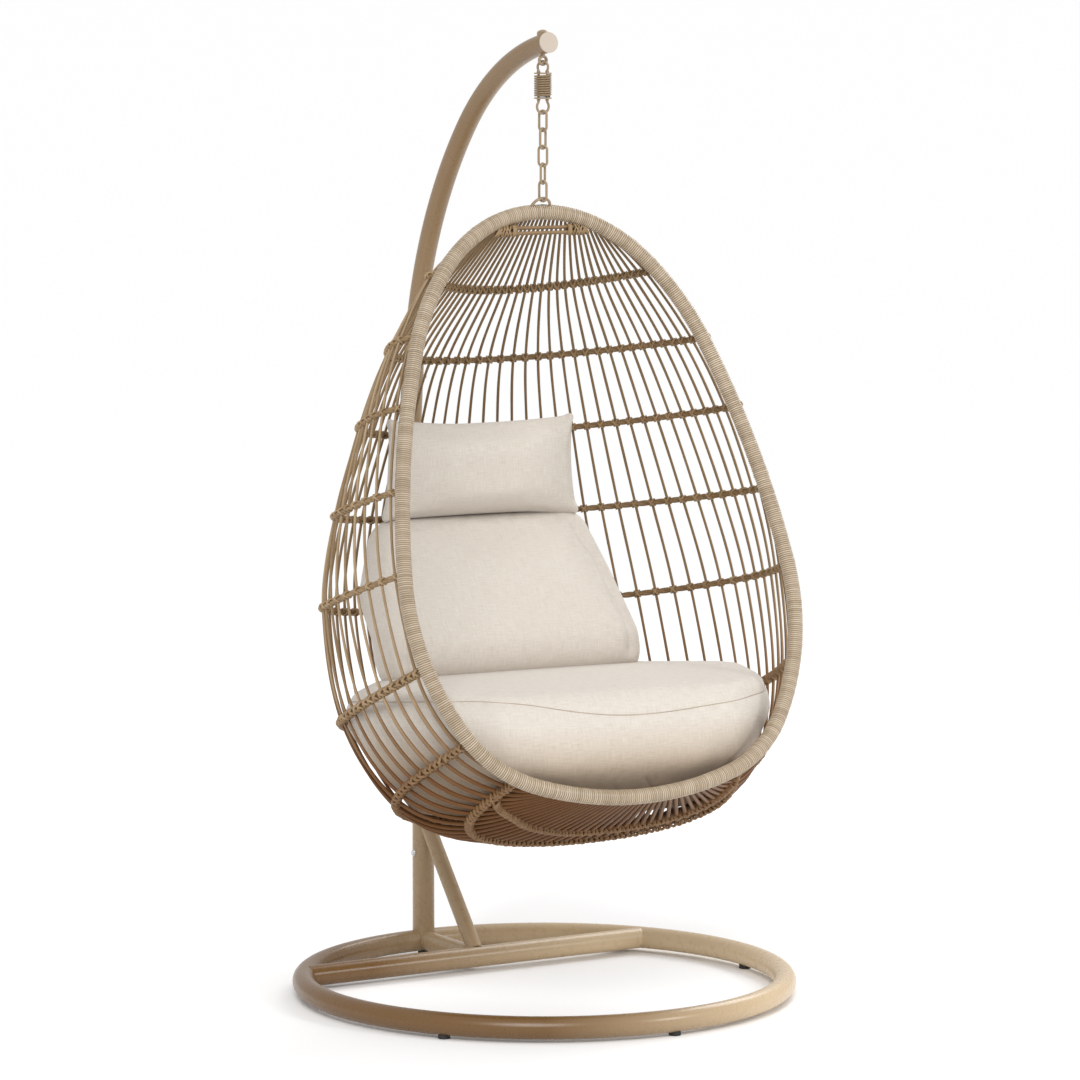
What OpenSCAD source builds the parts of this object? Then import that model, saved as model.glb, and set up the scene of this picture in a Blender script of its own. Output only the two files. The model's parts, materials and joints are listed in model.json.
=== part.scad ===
// Hanging egg chair on a ring-based C-shaped stand.
// Millimetres, +Z up, the chair faces -Y, the origin is at floor level under
// the middle of the whole chair, 28 mm behind the centre of the base ring.

/* [Stand] */
// Radius of the base ring, to the middle of its tube
ring_r = 486; // [470:1:510]
// Diameter of the base ring, cross bar and foot tube
ring_d = 45; // [40:1:48]
// Diameter of the lower post and lower arm
post_d = 46; // [44:0.5:48]
// Diameter of the upper arm
arm_d = 40; // [38:0.5:40]
// How far the cross bar sits behind the ring centre
bar_y = 268; // [240:1:300]
// Diameter of the diagonal brace
brace_d = 32; // [24:1:36]
// Height of the rubber feet
foot_h = 6; // [4:0.5:8]

/* [Hanger] */
// Height of the bottom of the eye bolt's eye, middle of its wire
eye_z = 1868.5; // [1860:0.5:1875]
// Distance of the hang line in front of or behind the ring centre
hang_y = 6; // [0:1:12]
// Wire diameter of the spring loops and chain links
wire_d = 5; // [4.5:0.1:5]
// Outside diameter of the spring coil
coil_d = 36; // [35:0.5:40]
// Number of turns of the spring coil
coil_turns = 8; // [6:1:8]

/* [Basket] */
// How far the basket hangs turned from straight ahead, in degrees
turn = -5; // [-15:1:15]
// Lean of the rim plane, bottom to the front, in degrees
lean = 21; // [18:0.5:23]
// Diameter of the steel rim tube
rim_d = 22; // [18:1:24]
// Thickness of the wicker wrapped round the rim
wrap_t = 4.4; // [3.5:0.1:5]
// Number of canes from the top of the rim to its front edge
n_canes = 45; // [31:2:45]
// Diameter of one cane
cane_d = 6; // [4:0.5:7]
// Thickness of the woven bands
band_d = 12; // [9:0.5:14]

/* [Cushions] */
// Radius of the seat cushion's rounded edge
seat_edge = 55; // [50:1:58]
// Radius of the back cushion's rounded edge
back_edge = 50; // [42:1:50]
// Radius of the head pillow's rounded edge
pillow_edge = 45; // [38:1:45]

/* [Hidden] */
paint = [0.70, 0.60, 0.48];
tan_steel = [0.66, 0.56, 0.44];
cane_col = [0.48, 0.34, 0.20];
wrap_col = [0.76, 0.68, 0.57];
cream = [0.90, 0.87, 0.82];

ring_z = foot_h + ring_d/2;
post_y = ring_r;

// ---------- plane arcs ----------
// A chain of tangent arcs in a plane: each entry of segs is [radius, angle],
// a positive angle turns left and a negative one turns right.
function nxt(p, h, R, a) = let(s = a >= 0 ? 1 : -1, c = p + s*R*[-sin(h), cos(h)])
  c + s*R*[sin(h + a), -cos(h + a)];
function chain_pts(segs, p, h, i = 0) = i >= len(segs) ? [] :
  concat([[p, h, segs[i][0], segs[i][1]]],
    chain_pts(segs, nxt(p, h, segs[i][0], segs[i][1]), h + segs[i][1], i + 1));
module arc_in(o, e1, e2, st) {
  p = st[0]; h = st[1]; R = st[2]; a = st[3];
  s = a >= 0 ? 1 : -1;
  c2 = p + s*R*[-sin(h), cos(h)];
  u2 = (p - c2)/R; v2 = [cos(h), sin(h)];
  c = o + c2.x*e1 + c2.y*e2;
  u = u2.x*e1 + u2.y*e2; v = v2.x*e1 + v2.y*e2; n = cross(u, v);
  multmatrix([[u.x, v.x, n.x, c.x], [u.y, v.y, n.y, c.y], [u.z, v.z, n.z, c.z], [0, 0, 0, 1]])
    rotate_extrude(angle = abs(a), $fn = 360) translate([R, 0]) children();
}

// ---------- faceted sweeps ----------
function unit(v) = v/norm(v);
function tangent(P, i) = let(n = len(P)) unit(P[min(i + 1, n - 1)] - P[max(i - 1, 0)]);
function frame0(t) = let(r = abs(t.z) > 0.9 ? [1, 0, 0] : [0, 0, 1]) unit(r - (r*t)*t);
function frames(P, i, prev) = i >= len(P) ? [] :
  let(t = tangent(P, i), q = prev == undef ? frame0(t) : unit(prev - (prev*t)*t))
  concat([q], frames(P, i + 1, q));
module rod(P, r, m) { rods(P, [for (p = P) r], m); }
// a rod with its own radius at each point
module rods(P, rr, m) {
  F = frames(P, 0, undef); n = len(P);
  V = [for (i = [0:n - 1]) let(t = tangent(P, i), q = F[i], b = cross(t, q))
    for (k = [0:m - 1]) P[i] + rr[i]*(cos(360*k/m)*q + sin(360*k/m)*b)];
  polyhedron(points = V, faces = concat(
    [[for (k = [0:m - 1]) k]],
    [for (i = [0:n - 2]) for (k = [0:m - 1]) let(a = i*m + k, b = i*m + (k + 1)%m)
      each [[a, a + m, b], [b, a + m, b + m]]],
    [[for (k = [m - 1:-1:0]) (n - 1)*m + k]]), convexity = 6);
}

// ---------- stand ----------
// The pole lies in the plane x = 0: a straight post, then three tangent arcs
// that carry it back, up and over to the hang line.
arm_z0 = 200; bend_z = 300; bend_a = 10.5;
arm_segs = [[3300, 16.3], [894, 35.9], [534, 39.5]];
// in-plane axes: first along +Z, second along -Y, so heading 0 is straight up
arm_o = [0, post_y, bend_z]; ae1 = [0, 0, 1]; ae2 = [0, -1, 0];
arm_st = chain_pts(arm_segs, [0, 0], -bend_a);
spigot_a = 3.2;
// the point b degrees before an arc starts, and the arc begun that much earlier
function back_pt(st, b) = let(c = st[0] + st[2]*[-sin(st[1]), cos(st[1])], h = st[1] - b)
  c + st[2]*[sin(h), -cos(h)];
function longer(st, b) = [back_pt(st, b), st[1] - b, st[2], st[3] + b];
arm_end = nxt(arm_st[2][0], arm_st[2][1], arm_st[2][2], arm_st[2][3]);
arm_end_h = arm_st[2][1] + arm_st[2][3];
function arm_xyz(p) = arm_o + p.x*ae1 + p.y*ae2;
// middle of the sleeve joint between the two arm pieces
p_jb = back_pt(arm_st[1], spigot_a/2);
// the mitre where the post meets the lower arm: everything above it
module above_mitre(g) { translate([0, post_y, bend_z + g]) rotate([-bend_a/2, 0, 0])
  translate([-60, -60, 0]) cube([120, 120, 120]); }
module below_mitre(g) { translate([0, post_y, bend_z + g]) rotate([-bend_a/2, 0, 0])
  translate([-60, -60, -120]) cube([120, 120, 120]); }

module base_ring() { color(paint)
  translate([0, 0, ring_z]) rotate_extrude($fn = 128) translate([ring_r, 0]) circle(ring_d/2, $fn = 48); }
module ring_cut() { translate([0, 0, ring_z]) rotate_extrude($fn = 128)
  translate([ring_r, 0]) circle(ring_d/2 + 0.02, $fn = 48); }
module cross_bar() { color(paint) difference() {
  translate([0, bar_y, ring_z]) rotate([0, 90, 0])
    cylinder(d = ring_d - 2, h = 2*sqrt(ring_r*ring_r - bar_y*bar_y), center = true, $fn = 48);
  ring_cut(); } }
module foot_tube() { color(paint) difference() {
  translate([0, bar_y, ring_z]) rotate([-90, 0, 0]) cylinder(d = ring_d - 4, h = ring_r - bar_y, $fn = 48);
  ring_cut();
  translate([0, bar_y, ring_z]) rotate([0, 90, 0]) cylinder(d = ring_d - 2 + 0.04, h = 200, center = true, $fn = 48);
  } }
module post_stub() { color(paint) difference() {
  union() {
    translate([0, post_y, ring_z]) cylinder(d = post_d, h = arm_z0 - ring_z, $fn = 48);
    translate([0, post_y, arm_z0 - 1]) cylinder(d = post_d - 6.1, h = 61, $fn = 48);
  }
  ring_cut();
  translate([0, bar_y, ring_z]) rotate([-90, 0, 0]) cylinder(d = ring_d - 4 + 0.04, h = ring_r - bar_y, $fn = 48);
  translate([0, post_y, 215]) rotate([0, 90, 0]) cylinder(d = 8.1, h = 80, center = true, $fn = 32);
  } }
module lower_post() { color(paint) difference() {
  translate([0, post_y, arm_z0 + 0.05]) cylinder(d = post_d, h = bend_z - arm_z0 + 20, $fn = 48);
  above_mitre(-0.01);
  translate([0, post_y, arm_z0 - 1]) cylinder(d = post_d - 6, h = 62, $fn = 48);
  translate([0, post_y, 215]) rotate([0, 90, 0]) cylinder(d = 8.1, h = 80, center = true, $fn = 32);
  } }
brace_a = [0, bar_y + 8, ring_z + 14]; brace_b = [0, post_y - 5, 290];
module diagonal_brace() { color(paint) difference() {
  d = brace_b - brace_a;
  translate(brace_a) rotate([-atan2(d.y, d.z), 0, 0]) cylinder(d = brace_d, h = norm(d), $fn = 40);
  translate([0, bar_y, ring_z]) rotate([0, 90, 0]) cylinder(d = ring_d - 2 + 0.04, h = 200, center = true, $fn = 48);
  translate([0, bar_y, ring_z]) rotate([-90, 0, 0]) cylinder(d = ring_d - 4 + 0.04, h = ring_r - bar_y, $fn = 48);
  translate([0, post_y, arm_z0]) cylinder(d = post_d + 0.04, h = 150, $fn = 48);
  } }
module lower_arm() { color(paint) difference() {
  arc_in(arm_o, ae1, ae2, longer(arm_st[0], 0.1)) circle(post_d/2, $fn = 48);
  below_mitre(0.01);
  arc_in(arm_o, ae1, ae2, [back_pt(arm_st[1], spigot_a + 0.1), arm_st[1][1] - spigot_a - 0.1, arm_st[1][2], spigot_a + 1]) circle(arm_d/2 + 0.05, $fn = 48);
  translate(arm_xyz(p_jb)) rotate([0, 90, 0]) cylinder(d = 8.1, h = 80, center = true, $fn = 32);
  } }
module upper_arm() { color(paint) difference() {
  arc_in(arm_o, ae1, ae2, longer(arm_st[1], spigot_a)) circle(arm_d/2, $fn = 48);
  translate(arm_xyz(p_jb)) rotate([0, 90, 0]) cylinder(d = 8.1, h = 80, center = true, $fn = 32);
  } }
module arm_crook() { color(paint) difference() {
  arc_in(arm_o, ae1, ae2, longer(arm_st[2], -0.002)) circle(arm_d/2, $fn = 48);
  translate([0, hang_y, eye_z]) cylinder(d = 8.1, h = 100, $fn = 32);
  } }
module arm_end_cap() { color(paint)
  translate(arm_xyz(arm_end)) rotate([arm_end_h, 0, 0]) translate([0, 0, 0.02])
    cylinder(d = arm_d + 1.5, h = 3, $fn = 48); }
module m8_bolt(p, len) { translate(p) rotate([0, 90, 0]) union() {
    translate([0, 0, -len/2]) cylinder(d = 8, h = len + 9, $fn = 32);
    translate([0, 0, -len/2 - 4]) cylinder(d1 = 10, d2 = 15, h = 4.01, $fn = 32);
  } }
module m8_nut(p, len) { translate(p) rotate([0, 90, 0]) translate([0, 0, len/2 + 0.05]) difference() {
    cylinder(d = 14.6, h = 6.5, $fn = 6);
    translate([0, 0, -1]) cylinder(d = 8.04, h = 10, $fn = 32);
  } }
module post_bolt() { color("silver") m8_bolt([0, post_y, 215], post_d + 0.1); }
module post_bolt_nut() { color("silver") m8_nut([0, post_y, 215], post_d + 0.1); }
module arm_bolt() { color("silver") m8_bolt(arm_xyz(p_jb), post_d + 0.1); }
module arm_bolt_nut() { color("silver") m8_nut(arm_xyz(p_jb), post_d + 0.1); }
module foot_pads() { color([0.08, 0.08, 0.08]) for (a = [-125, -55, 0, 90, 180]) rotate([0, 0, a])
  translate([0, -ring_r, 0]) difference() {
    cylinder(d = 24, h = foot_h + 5, $fn = 32);
    translate([0, ring_r, ring_z])
      rotate_extrude($fn = 128) translate([ring_r, 0]) circle(ring_d/2 + 0.02, $fn = 48);
    translate([0, ring_r, 0]) rotate([0, 0, -a]) translate([0, bar_y, ring_z]) rotate([0, 90, 0])
      cylinder(d = ring_d - 2 + 0.04, h = 2*ring_r, center = true, $fn = 48);
  } }

// ---------- hanger ----------
eye_w = 6.5; eye_r = 8;
hp = [0, hang_y, 0];
// top of the saddle washer, where the cap nut sits
nut_z = 1930.5;
module half_loop(r, w, z, a, up) { translate([0, hang_y, z]) rotate([0, 0, a]) rotate([up ? 90 : -90, 0, 0])
  rotate_extrude(angle = 180, $fn = 64) translate([r, 0]) circle(w/2, $fn = 24); }
module leg(r, w, z0, z1, a) { translate([0, hang_y, z0]) rotate([0, 0, a]) for (s = [-1, 1])
  translate([s*r, 0, 0]) cylinder(d = w, h = z1 - z0, $fn = 24); }
// the eye bolt and its cap nut turn together on the saddle washer
module eye_bolt() { color(tan_steel) union() {
  translate([0, hang_y, eye_z + eye_r]) rotate([90, 0, 0]) rotate_extrude($fn = 64) translate([eye_r, 0]) circle(eye_w/2, $fn = 24);
  translate([0, hang_y, eye_z + 2*eye_r]) cylinder(d = 8, h = nut_z + 4 - eye_z - 2*eye_r, $fn = 32);
  } }
module eye_bolt_washer() { color(tan_steel) difference() {
  translate([0, hang_y, nut_z - 9]) cylinder(d = 24, h = 9, $fn = 48);
  translate([0, hang_y, nut_z - 12]) cylinder(d = 8.1, h = 20, $fn = 32);
  arc_in(arm_o, ae1, ae2, arm_st[2]) circle(arm_d/2 + 0.02, $fn = 48);
  } }
module eye_bolt_cap_nut() { color(tan_steel) difference() {
  union() {
    translate([0, hang_y, nut_z + 0.05]) cylinder(d = 23, h = 2, $fn = 48);
    intersection() {
      translate([0, hang_y, nut_z - 10.4]) sphere(r = 16.9, $fn = 64);
      translate([0, hang_y, nut_z + 1]) cylinder(d = 23, h = 20, $fn = 48);
    }
  }
  translate([0, hang_y, nut_z - 4]) cylinder(d = 8.04, h = 8.2, $fn = 32);
  } }

w2 = wire_d/2; loop_r = 10; top_a = -63; hook_gap = 0.6;
u1_top = eye_z + eye_w/2 + w2 + hook_gap;
coil_z0 = 1803; coil_z1 = 1849.5; seat_t = 2.5; coil_w = 4.2;
module seat_disc(z) { translate([0, hang_y, z]) cylinder(d = coil_d - 1, h = seat_t, $fn = 48); }
module seat_holes(z) { for (a = [0, top_a]) leg(loop_r, wire_d + 0.2, z - 2, z + seat_t + 2, a); }
// Half of a bent wire hook: a round head of radius R about the origin, drawn in
// by a small reverse bend r to two long legs, each headed by a collar. Entries
// are [x, z, wire radius], from the bottom of the head to the end of one leg.
function half_hook(R, r, l) = let(psi = acos((loop_r + r)/(R + r)), lz = (R + r)*sin(psi), c = l - 5.9) concat(
  [for (i = [1:12]) let(t = -90 + (90 + psi)*i/12) [R*cos(t), R*sin(t), w2]],
  [for (i = [1:5]) let(t = psi*(1 - i/5)) [loop_r + r - r*cos(t), lz - r*sin(t), w2]],
  [[loop_r, c - 0.01, w2], [loop_r, c, w2 + 1.2], [loop_r, c + 4, w2 + 1.2], [loop_r, c + 4.01, w2], [loop_r, l, w2]]);
module hook(R, r, l) { H = half_hook(R, r, l); n = len(H);
  Q = concat([for (i = [n - 1:-1:0]) [-H[i].x, H[i].y, H[i].z]], [[0, -R, w2]], H);
  rods([for (q = Q) [q.x, 0, q.y]], [for (q = Q) q.z], 12); }
top_R = 12; bot_R = 13.5;
module spring_top_loop() { color(tan_steel) translate([0, hang_y, u1_top - top_R]) rotate([180, 0, top_a])
  hook(top_R, 3, u1_top - top_R - coil_z0 + seat_t + 6); }
module spring_lower_seat() { color(tan_steel) difference() { seat_disc(coil_z0 - seat_t); seat_holes(coil_z0 - seat_t); } }
u2_bot = 1771.3;
module spring_bottom_loop() { color(tan_steel) translate([0, hang_y, u2_bot + bot_R])
  hook(bot_R, 6, coil_z1 + seat_t + 6 - u2_bot - bot_R); }
module spring_upper_seat() { color(tan_steel) difference() { seat_disc(coil_z1); seat_holes(coil_z1); } }
module spring_coil() { color(tan_steel)
  rod([for (i = [0:18*coil_turns]) let(a = i*360/18)
    [(coil_d - coil_w)/2*cos(a), hang_y + (coil_d - coil_w)/2*sin(a),
     coil_z0 + coil_w/2 + 0.1 + (coil_z1 - coil_z0 - coil_w - 0.2)*i/(18*coil_turns)]], coil_w/2, 6); }

// a stadium-shaped ring of wire: the middle of its upper arc is at the origin
module long_ring(r, l) { union() {
  rotate([90, 0, 0]) rotate_extrude(angle = 180, $fn = 64) translate([r, 0]) circle(w2, $fn = 24);
  translate([0, 0, -l]) rotate([-90, 0, 0]) rotate_extrude(angle = 180, $fn = 64) translate([r, 0]) circle(w2, $fn = 24);
  for (q = [-1, 1]) translate([q*r, 0, -l]) cylinder(r = w2, h = l, $fn = 24);
  } }
// chain: link k hangs on the wire above it, half a millimetre clear of it
link_c = 40.28; link_r = 8.5; link_gap = 0.5;
LINK_A = [-62, 20, -41, 30, -63];
function link_top(k) = u2_bot + wire_d + link_gap - (k - 1)*(link_c - wire_d - link_gap);
module link(k) { color(tan_steel) translate([0, hang_y, link_top(k) - link_r]) rotate([0, 0, LINK_A[k - 1]])
  long_ring(link_r, link_c - 2*link_r); }
module chain_link_1() { link(1); }
module chain_link_2() { link(2); }
module chain_link_3() { link(3); }
module chain_link_4() { link(4); }
module chain_link_5() { link(5); }

// ---------- basket ----------
// The basket is drawn facing -Y and then turned about the hang line.
module turned() { translate(hp) rotate([0, 0, turn]) translate(-hp) children(); }
rim_o = [0, 18, 1565];
rs = [0, -sin(lean), -cos(lean)];
rn = [0, cos(lean), -sin(lean)];
rim_R = rim_d/2 + wrap_t;
rim_segs6 = [[268.5, 29.1], [334.3, 21.6], [543.6, 19.7], [1889, 14.3], [510, 38], [249, 38.4]];
rim_s0 = -11;
rim_h6 = rim_segs6[0][1] + rim_segs6[1][1] + rim_segs6[2][1] + rim_segs6[3][1] + rim_segs6[4][1] + rim_segs6[5][1];
rim_st6 = chain_pts(rim_segs6, [0, rim_s0], 0);
rim_p6 = nxt(rim_st6[5][0], rim_st6[5][1], rim_st6[5][2], rim_st6[5][3]);
rim_segs = concat(rim_segs6, [[rim_p6.x/sin(rim_h6), 180 - rim_h6]]);
rim_st = chain_pts(rim_segs, [0, rim_s0], 0);
function rim3(x, s) = rim_o + [x, 0, 0] + s*rs;
// points along the rim, down the +X side and back up the -X side
rim_n = [6, 5, 5, 6, 8, 9, 6];
rim_half = concat([for (i = [0:6]) for (k = [0:rim_n[i] - 1]) let(st = rim_st[i]) nxt(st[0], st[1], st[2], st[3]*k/rim_n[i])],
  [[0, nxt(rim_st[6][0], rim_st[6][1], rim_st[6][2], rim_st[6][3]).y]]);
nh = len(rim_half);
rim_pts = concat(rim_half, [for (i = [nh - 2:-1:1]) [-rim_half[i].x, rim_half[i].y]]);
nr = len(rim_pts);
// vertices of a ring whose section is the polygon Q, given as [outward, back]
function rim_ring(Q) = [for (i = [0:nr - 1])
  let(t = unit(rim_pts[(i + 1)%nr] - rim_pts[(i + nr - 1)%nr]), p = rim_pts[i], o = [-t.y, t.x])
    for (q = Q) rim3(p.x, p.y) + q.x*(o.x*[1, 0, 0] + o.y*rs) + q.y*rn];
module rim_loop(Q) { m = len(Q);
  polyhedron(points = rim_ring(Q), faces = [for (i = [0:nr - 1]) for (k = [0:m - 1])
    let(a = i*m + k, b = i*m + (k + 1)%m, c = ((i + 1)%nr)*m + k, d = ((i + 1)%nr)*m + (k + 1)%m)
      each [[a, c, b], [b, c, d]]], convexity = 6); }
module rim_tube() { color(tan_steel) turned() rim_loop([for (k = [0:9]) rim_d/2*[cos(36*k), sin(36*k)]]); }
// the wicker winding is laid round the tube and butts along a seam at the back
seam_a = 2;
function wrap_side(r) = concat([[r*cos(18)*tan(-seam_a), r*cos(18)]], [for (k = [3:12]) r*[cos(36*k), sin(36*k)]],
  [[r*cos(18)*tan(seam_a), r*cos(18)]]);
module rim_wrap() { color(wrap_col) turned()
  rim_loop(concat(wrap_side(rim_R), [for (i = [11:-1:0]) wrap_side(rim_d/2 + 0.08)[i]])); }

// Sections of the shell, from the top band to the lowest one:
// [place down the rim, half width there, rear point y, z, bulge, roundness]
SEC = [[111, 232, 185, 1410, 0.46, 2.9], [256, 314, 305, 1259, 0.48, 2.4], [399, 362, 350, 1102, 0.51, 1.94],
  [572, 398, 370, 930, 0.53, 1.45], [737, 415, 332, 745, 0.56, 1.08], [931, 400, 209, 514, 0.59, 0.86],
  [1051, 339, 21, 350, 0.62, 0.77], [1129, 242, -126, 333, 0.64, 0.82]];
NS = len(SEC);
tuck = rim_R - 1.2;
function sec_pt(i, f) = let(S = SEC[i], a = 180*f, m = rim3(0, S[0]), M = [0, S[2], S[3]],
    k = S[4], q = S[5], t = pow(max(sin(a), 0.00001), q))
  m + [-S[1]*cos(a)*(1 + k*sin(a)), 0, 0] + t*(M - m) + tuck*(1 - sin(a))*rn;
// even spacing along a section
NA = 40;
function sec_len(i, j = 0, acc = [0]) = j >= NA ? acc :
  sec_len(i, j + 1, concat(acc, [acc[j] + norm(sec_pt(i, (j + 1)/NA) - sec_pt(i, j/NA))]));
LEN = [for (i = [0:NS - 1]) sec_len(i)];
function find(L, v, j = 0) = j >= NA - 1 || L[j + 1] >= v ? j : find(L, v, j + 1);
function even(i, g) = let(L = LEN[i], v = g*L[NA], j = find(L, v))
  sec_pt(i, (j + (v - L[j])/(L[j + 1] - L[j]))/NA);
function top_s(x) = rim_s0 + 270 - sqrt(270*270 - x*x);
function bot_s(x) = let(st = rim_st[6]) 1182.5 - 654 + sqrt(654*654 - x*x);
function cane_ctrl(j) = let(g = (j + 0.5)/n_canes, c = 2*g - 1, xt = 178*c, xe = 208*c)
  concat([rim3(xt, top_s(xt)) + tuck*rn],
    [for (i = [0:NS - 1]) even(i, g)],
    [rim3(xe, bot_s(xe)) + tuck*rn]);
function cr(a, b, c, d, t) = 0.5*(2*b + (c - a)*t + (2*a - 5*b + 4*c - d)*t*t + (3*b - a - 3*c + d)*t*t*t);
function smooth(P, n) = let(m = len(P)) concat([for (i = [0:m - 2]) for (k = [0:n - 1])
    cr(P[max(i - 1, 0)], P[i], P[i + 1], P[min(i + 2, m - 1)], k/n)], [P[m - 1]]);
module canes(j0, j1) { color(cane_col) turned() for (j = [j0:j1]) rod(smooth(cane_ctrl(j), 2), cane_d/2, 4); }
// the canes in nine bundles, counted from the -X side
module bundle(q) { canes(floor(q*n_canes/9), floor((q + 1)*n_canes/9) - 1); }
module left_canes_1() { bundle(0); }
module left_canes_2() { bundle(1); }
module left_canes_3() { bundle(2); }
module back_canes_1() { bundle(3); }
module back_canes_2() { bundle(4); }
module back_canes_3() { bundle(5); }
module right_canes_1() { bundle(6); }
module right_canes_2() { bundle(7); }
module right_canes_3() { bundle(8); }
// the two top bands lie a little further behind the rim tube
// bands 2 to 6 ride up the canes a little towards the rim on the -X side
function rise(g) = g < 0.16 ? 0.16*pow(1 - g/0.16, 1.3) : 0;
function band_pt(i, g) = even(i, g) + (i < 2 ? 1.5 : 0)*rn + (i > 0 && i < 6 ? rise(g)*(even(i - 1, g) - even(i, g)) : [0, 0, 0]);
module band(i) { color(cane_col) turned() rod([for (j = [0:28]) band_pt(i, j/28)], band_d/2, 6); }
module band_1() { band(0); }
module band_2() { band(1); }
module band_3() { band(2); }
module band_4() { band(3); }
module band_5() { band(4); }
module band_6() { band(5); }
module band_7() { band(6); }
module band_8() { band(7); }
// short band under the front edge: it leaves the lowest band near the rim and
// runs across between the two
function front_w(g) = lookup(g, [[0.08, 0.92], [0.14, 0.7], [0.2, 0.57], [0.3, 0.62], [0.45, 0.71], [0.8, 0.73], [0.86, 0.8], [0.92, 0.92]]);
function front_pt(g) = let(xe = 208*(2*g - 1), P = rim3(xe, bot_s(xe)) + tuck*rn, Q = even(NS - 1, g), w = front_w(g))
  (1 - w)*P + w*Q - [0, 0, 4*sin(180*g)];
module front_band() { color(cane_col) turned() rod([for (j = [0:16]) front_pt(0.08 + 0.84*j/16)], band_d/2 - 1, 6); }
module top_bar() { color(cane_col) turned() for (s = [20, 31])
  translate(rim3(0, s) + (tuck - 9)*rn) rotate([0, 90, 0]) cylinder(d = 8, h = 150, center = true, $fn = 24); }
module basket_eye() { color(tan_steel) turned() union() {
  half_loop(21, 6, 1603.4 - 21, 0, true);
  leg(21, 6, 1603.4 - 21 - 13, 1603.4 - 21, 0); } }

// ---------- cushions ----------
module balls(P, r) { hull() for (p = P) translate(p) sphere(r = r, $fn = 16); }
// both sides of a symmetric list of places
function sides(P) = concat(P, [for (p = P) if (p.x > 0) [-p.x, p.y]]);
module seat_cushion() { color(cream) turned() balls(concat(
  [for (p = sides([[0, -298], [80, -296], [160, -290], [243, -283], [316, -245], [362, -165], [386, -70], [368, 28], [305, 105], [222, 152], [142, 178], [0, 192]]))
    [p.x, p.y, 658 - seat_edge + 3 - (p.y > 0 ? 16 : 0)]],
  [for (p = sides([[0, -322], [150, -320], [228, -300], [290, -244], [339, -168], [362, -78], [338, 10], [268, 74], [190, 112], [120, 132], [0, 142]]))
    [p.x, p.y, 537]],
  [for (p = sides([[0, -288], [145, -282], [228, -234], [304, -157], [312, -54], [230, 26], [138, 64], [0, 80]]))
    [p.x, p.y, 480]],
  [for (p = sides([[0, -232], [98, -228], [176, -213], [264, -159], [286, -74], [216, 0], [128, 34], [0, 46]]))
    [p.x, p.y, 450]]), seat_edge - 3); }
module back_cushion() { color(cream) turned() balls(
  [[-266, 95, 700], [207, 95, 700], [-234, 190, 706], [184, 198, 706], [-15, 228, 710],
   [-262, 200, 800], [208, 212, 800], [-222, 246, 895], [175, 258, 895], [-112, 278, 898], [82, 282, 898],
   [-100, 178, 816], [70, 178, 816]], back_edge); }
module head_pillow() { color(cream) turned() balls(
  [[-205, 235, 995], [170, 245, 995], [-92, 272, 995], [60, 276, 995],
   [-202, 212, 1098], [165, 222, 1098], [-92, 258, 1095], [60, 262, 1095], [-60, 232, 1040], [30, 234, 1040]], pillow_edge); }

// the drawing above is centred on the base ring; this puts the origin under
// the middle of the whole chair
module placed() { translate([0, -28, 0]) children(); }

placed() base_ring();
placed() foot_tube();
placed() cross_bar();
placed() diagonal_brace();
placed() post_stub();
placed() lower_post();
placed() lower_arm();
placed() upper_arm();
placed() arm_crook();
placed() arm_end_cap();
placed() post_bolt();
placed() post_bolt_nut();
placed() arm_bolt();
placed() arm_bolt_nut();
placed() foot_pads();
placed() eye_bolt();
placed() eye_bolt_washer();
placed() eye_bolt_cap_nut();
placed() spring_top_loop();
placed() spring_lower_seat();
placed() spring_coil();
placed() spring_bottom_loop();
placed() spring_upper_seat();
placed() chain_link_1();
placed() chain_link_2();
placed() chain_link_3();
placed() chain_link_4();
placed() chain_link_5();
placed() basket_eye();
placed() rim_tube();
placed() rim_wrap();
placed() top_bar();
placed() left_canes_1();
placed() left_canes_2();
placed() left_canes_3();
placed() back_canes_1();
placed() back_canes_2();
placed() back_canes_3();
placed() right_canes_1();
placed() right_canes_2();
placed() right_canes_3();
placed() band_1();
placed() band_2();
placed() band_3();
placed() band_4();
placed() band_5();
placed() band_6();
placed() band_7();
placed() band_8();
placed() front_band();
placed() seat_cushion();
placed() back_cushion();
placed() head_pillow();
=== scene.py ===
import json
import math

import bpy
import numpy as np
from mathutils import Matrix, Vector
from mathutils.bvhtree import BVHTree

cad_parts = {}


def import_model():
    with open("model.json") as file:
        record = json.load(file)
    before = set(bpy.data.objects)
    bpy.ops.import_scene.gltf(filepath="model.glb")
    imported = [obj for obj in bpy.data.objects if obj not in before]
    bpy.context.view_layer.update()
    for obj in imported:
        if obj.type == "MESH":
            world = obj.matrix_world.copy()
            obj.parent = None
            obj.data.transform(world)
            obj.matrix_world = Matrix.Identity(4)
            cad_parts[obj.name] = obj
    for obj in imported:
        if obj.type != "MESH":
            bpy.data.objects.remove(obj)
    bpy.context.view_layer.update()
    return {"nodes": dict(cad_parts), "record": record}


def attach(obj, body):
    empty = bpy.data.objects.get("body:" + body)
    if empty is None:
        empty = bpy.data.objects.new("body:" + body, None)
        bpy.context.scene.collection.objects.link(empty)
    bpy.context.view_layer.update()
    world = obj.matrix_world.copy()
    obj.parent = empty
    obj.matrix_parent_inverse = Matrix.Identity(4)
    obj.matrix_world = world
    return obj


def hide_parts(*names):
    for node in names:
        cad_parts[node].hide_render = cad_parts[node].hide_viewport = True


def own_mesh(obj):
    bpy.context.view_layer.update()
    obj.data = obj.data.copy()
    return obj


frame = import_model()
nodes = frame["nodes"]

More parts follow.
